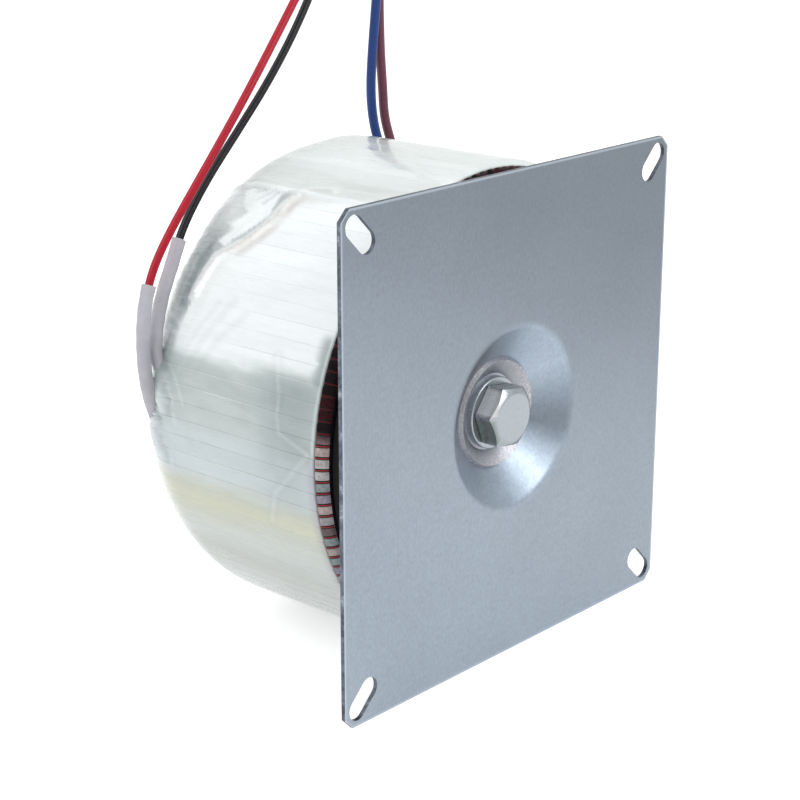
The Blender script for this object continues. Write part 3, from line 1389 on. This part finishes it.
def thread_tree():
    """Geometry tree: a helical ridge round the Y axis, as on a rolled thread."""
    tree, given, out = ring_tree("bolt_thread", (
        ("Pitch", "NodeSocketFloat"), ("Length", "NodeSocketFloat"),
        ("Radius", "NodeSocketFloat"), ("Start", "NodeSocketFloat"),
        ("Finish", "NodeSocketMaterial")))
    turns = maths(tree, "DIVIDE", given["Length"], given["Pitch"])
    depth = maths(tree, "MULTIPLY", given["Pitch"], 0.46)
    inner = maths(tree, "SUBTRACT", given["Radius"], depth)
    helix = first_output(tree, "GeometryNodeCurveSpiral", inputs={
        "Resolution": 40, "Rotations": turns, "Start Radius": inner,
        "End Radius": inner, "Height": given["Length"]})
    # A six-sided section gives the ridge a flat crest and sloping flanks
    ridge = first_output(tree, "GeometryNodeCurvePrimitiveCircle", inputs={
        "Resolution": 6, "Radius": depth})
    bar = first_output(tree, "GeometryNodeCurveToMesh", inputs={
        "Curve": helix, "Profile Curve": ridge, "Fill Caps": True})
    place = first_output(tree, "ShaderNodeCombineXYZ", inputs={"Y": given["Start"]})
    laid = first_output(tree, "GeometryNodeTransform", inputs={
        "Geometry": bar, "Translation": place,
        "Rotation": (-math.pi / 2, 0.0, 0.0)})
    solid = first_output(tree, "GeometryNodeRealizeInstances",
                         inputs={0: joined(tree, given["Geometry"], laid)})
    return given_out(tree, solid, given["Finish"], out)


def bolt_shell(head_front, turn, tip):
    """Hexagon head with its turned top face, and the bolt's core, as closed shells."""
    points, faces = [], []
    sides = 48
    across = HEAD_FLATS / 2 * HEAD_FACE_SHARE
    slope = math.tan(math.radians(30))

    def hexagon(angle):
        local = (angle - turn) % (math.pi / 3) - math.pi / 6
        return HEAD_FLATS / 2 / math.cos(local)

    def even(distance, along):
        return [(distance, along)] * sides

    angles = [turn + 2 * math.pi * side / sides for side in range(sides)]
    flanks = [hexagon(angle) for angle in angles]
    # From the middle of the turned face over the chamfer and the flanks to the seat
    rings = [even(0.0, head_front), even(across * 0.93, head_front),
             even(across, head_front + 0.00006),
             [(out, head_front + (out - across) * slope + 0.00006) for out in flanks],
             [(out, HEAD_SEAT - 0.0003) for out in flanks],
             [(out * 0.985, HEAD_SEAT) for out in flanks]]
    # Then down the shank to the thread's root and the pointed end
    for share, along in ((1.0, HEAD_SEAT), (1.0, THREAD_TOP), (0.84, THREAD_TOP + 0.0006),
                         (0.84, tip - 0.0012), (0.72, tip), (0.0, tip)):
        rings.append(even(BOLT_RADIUS * share, along))
    for ring in rings:
        for angle, (distance, along) in zip(angles, ring):
            points.append((distance * math.cos(angle), along, distance * math.sin(angle)))
    for row in range(len(rings) - 1):
        faces += ring_faces(row * sides, (row + 1) * sides, sides)
    return points, faces


class TRANSFORMER_OT_bolt(bpy.types.Operator):
    """Forges the hexagon bolt with its rolled thread"""
    bl_idname = "transformer.bolt"
    bl_label = "Bolt"

    def execute(self, context):
        settings = context.scene.transformer_metal
        low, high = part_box("hex_bolt")
        points, faces = bolt_shell(low[1], math.radians(-8), high[1])
        bolt = mesh_object("m8_bolt", points, faces)
        face_out(bolt, merge=0.000002)
        bevel = bolt.modifiers.new("forged_edges", "BEVEL")
        bevel.width = settings.edge_radius
        bevel.segments = 2
        bevel.limit_method = "ANGLE"
        bevel.angle_limit = math.radians(28)
        settle(bolt)
        start = THREAD_TOP + 0.0010
        run_tree(bolt, thread_tree(), {
            "Pitch": settings.thread_pitch, "Length": high[1] - 0.0016 - start,
            "Radius": BOLT_RADIUS, "Start": start,
            "Finish": bpy.data.materials["bright_zinc_passivated"]})
        face_out(bolt)
        smooth(bolt, 24)
        self.shade_facets(bolt)
        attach(bolt, "root")
        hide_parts("hex_bolt")
        return {"FINISHED"}

    def shade_facets(self, bolt):
        """Marks one side of the head that is dull from forging and one that is burnished."""
        dull = bolt.data.attributes.new("facet_shade", "FLOAT", "POINT")
        shiny = bolt.data.attributes.new("facet_light", "FLOAT", "POINT")
        for index, vertex in enumerate(bolt.data.vertices):
            across, along, up = vertex.co
            bearing = math.degrees(math.atan2(up, across)) % 360
            on_side = math.hypot(across, up) > 0.0058 and along < HEAD_SEAT
            dull.data[index].value = 0.75 if on_side and 174 < bearing < 229 else 0.0
            shiny.data[index].value = 0.8 if on_side and 114 < bearing < 170 else 0.0


class TRANSFORMER_OT_finishes(bpy.types.Operator):
    """Gives the plate, fasteners, pads and core their finishes"""
    bl_idname = "transformer.finishes"
    bl_label = "Finishes"

    def execute(self, context):
        metal = context.scene.transformer_metal
        zinc_colour, washer_colour = tuple(metal.zinc_colour)[:3], tuple(metal.washer_colour)[:3]
        plate = zinc_sheet("zinc_plated_sheet", zinc_colour, 0.42, pressed_plate)
        disc = zinc_sheet("zinc_plated_disc", zinc_colour, 0.38)
        washer = zinc_sheet("matt_plated_washer", washer_colour, 0.5, stained_rim)
        zinc = bright_zinc(tuple(metal.bright_colour)[:3])
        rubber = moulded_rubber()
        wire = ring_lines("wound_enamelled_wire", "#3A1713", "#A2452F", 0.0007,
                          0.0, 0.3, True)
        core = ring_lines("grain_oriented_strip", "#4A4D50", "#9B9FA2", 0.0006,
                          1.0, 0.4, False)
        tape = ring_lines("insulation_tape", "#B5AF86", "#D9D3A4", 0.004,
                          0.0, 0.35, True)
        nylon = moulded_nylon()
        finishes = (
            (plate, ("mounting_plate",)),
            (disc, ("clamp_disc",)),
            (washer, ("cup_washer",)),
            (zinc, ("front_washer", "rear_washer", "spring_washer", "hex_nut")),
            (rubber, ("front_pad", "rear_pad")),
            (wire, ("primary_winding", "secondary_winding")),
            (tape, ("interwinding_insulation",)),
            (core, ("wound_core",)),
            (nylon, ("core_cap_front", "core_cap_rear", "core_band_outer", "core_band_inner")),
        )
        for material, names in finishes:
            for name in names:
                paint_shell(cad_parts[name], material)
        return {"FINISHED"}


class TRANSFORMER_OT_stage(bpy.types.Operator):
    """Lays the pale floor and hangs the soft lamps"""
    bl_idname = "transformer.stage"
    bl_label = "Floor and lamps"

    def execute(self, context):
        settings = context.scene.transformer_stage
        context.scene.view_settings.view_transform = "Standard"
        self.lay_floor(settings)
        self.set_world(context)
        self.hang_lamp("key_softbox", (-0.75, 0.25, 0.75), 0.7, 3.6)
        self.hang_lamp("plate_softbox", (0.22, -0.86, 0.60), 0.50, 4.3)
        self.hang_lamp("top_softbox", (0.1, 0.1, 1.2), 0.8, 2.4)
        return {"FINISHED"}

    def lay_floor(self, settings):
        """A wide floor that looks white and still takes the object's shadow."""
        low = float(CAD_BOX[0][2])
        reach = 3.0
        floor = mesh_object("floor", [(-reach, -reach, low), (reach, -reach, low),
                                      (reach, reach, low), (-reach, reach, low)], [(0, 1, 2, 3)])
        material, tree, shader, coords = new_material("pale_studio_floor")
        mottle = grains(tree, coords, 40.0)
        tone = spread(tree, mottle, end=(0.99, 1.0))
        colour = times(tree, tuple(settings.floor_colour)[:3], tone)
        glow = maths(tree, "MULTIPLY", seen_share(tree), 0.6)
        fill(tree, shader, {
            "Base Color": colour, "Roughness": 0.9,
            "Emission Color": (1.0, 1.0, 1.0, 1.0), "Emission Strength": glow})
        floor.data.materials.append(material)

    def set_world(self, context):
        """White where it is seen or mirrored, and a plain light level elsewhere."""
        world = bpy.data.worlds.new("studio")
        context.scene.world = world
        world.use_nodes = True
        tree = world.node_tree
        tree.nodes.clear()
        level = spread(tree, seen_share(tree), end=(0.55, 1.0))
        light = first_output(tree, "ShaderNodeBackground", inputs={
            "Color": (1.0, 1.0, 1.0, 1.0), "Strength": level})
        add_node(tree, "ShaderNodeOutputWorld", inputs={"Surface": light})

    def hang_lamp(self, name, place, side, watts):
        """A square softbox turned towards the coil."""
        data = bpy.data.lights.new(name, "AREA")
        data.size = side
        data.energy = watts
        lamp = new_object(name, data)
        lamp.location = place
        aim = Vector((0.0, 0.03, 0.0)) - Vector(place)
        lamp.rotation_euler = aim.to_track_quat("-Z", "Y").to_euler()


class TRANSFORMER_PT_panel(bpy.types.Panel):
    """Sidebar panel with every step of the transformer"""
    bl_idname = "TRANSFORMER_PT_panel"
    bl_label = "Toroidal transformer"
    bl_space_type = "VIEW_3D"
    bl_region_type = "UI"
    bl_category = "Transformer"

    def draw(self, context):
        for step in STEPS:
            self.layout.operator(step.bl_idname)
        for group_name in GROUPS:
            group = getattr(context.scene, group_name)
            box = self.layout.box()
            for name in group.bl_rna.properties.keys():
                if name not in ("rna_type", "name"):
                    box.prop(group, name)


STEPS = (TRANSFORMER_OT_camera, TRANSFORMER_OT_leads, TRANSFORMER_OT_finishes,
         TRANSFORMER_OT_film, TRANSFORMER_OT_winding, TRANSFORMER_OT_bolt,
         TRANSFORMER_OT_stage)
GROUPS = {
    "transformer_film": FilmSettings,
    "transformer_winding": WindingSettings,
    "transformer_leads": LeadSettings,
    "transformer_metal": MetalSettings,
    "transformer_stage": StageSettings,
}


def register():
    for group in GROUPS.values():
        bpy.utils.register_class(group)
    for name, group in GROUPS.items():
        setattr(bpy.types.Scene, name, PointerProperty(type=group))
    for step in STEPS:
        bpy.utils.register_class(step)
    bpy.utils.register_class(TRANSFORMER_PT_panel)


def unregister():
    bpy.utils.unregister_class(TRANSFORMER_PT_panel)
    for step in reversed(STEPS):
        bpy.utils.unregister_class(step)
    for name in GROUPS:
        delattr(bpy.types.Scene, name)
    for group in reversed(list(GROUPS.values())):
        bpy.utils.unregister_class(group)


def main():
    register()
    bpy.ops.transformer.camera()
    bpy.ops.transformer.leads()
    bpy.ops.transformer.finishes()
    bpy.ops.transformer.film()
    bpy.ops.transformer.winding()
    bpy.ops.transformer.bolt()
    bpy.ops.transformer.stage()


if __name__ == "__main__":
    main()
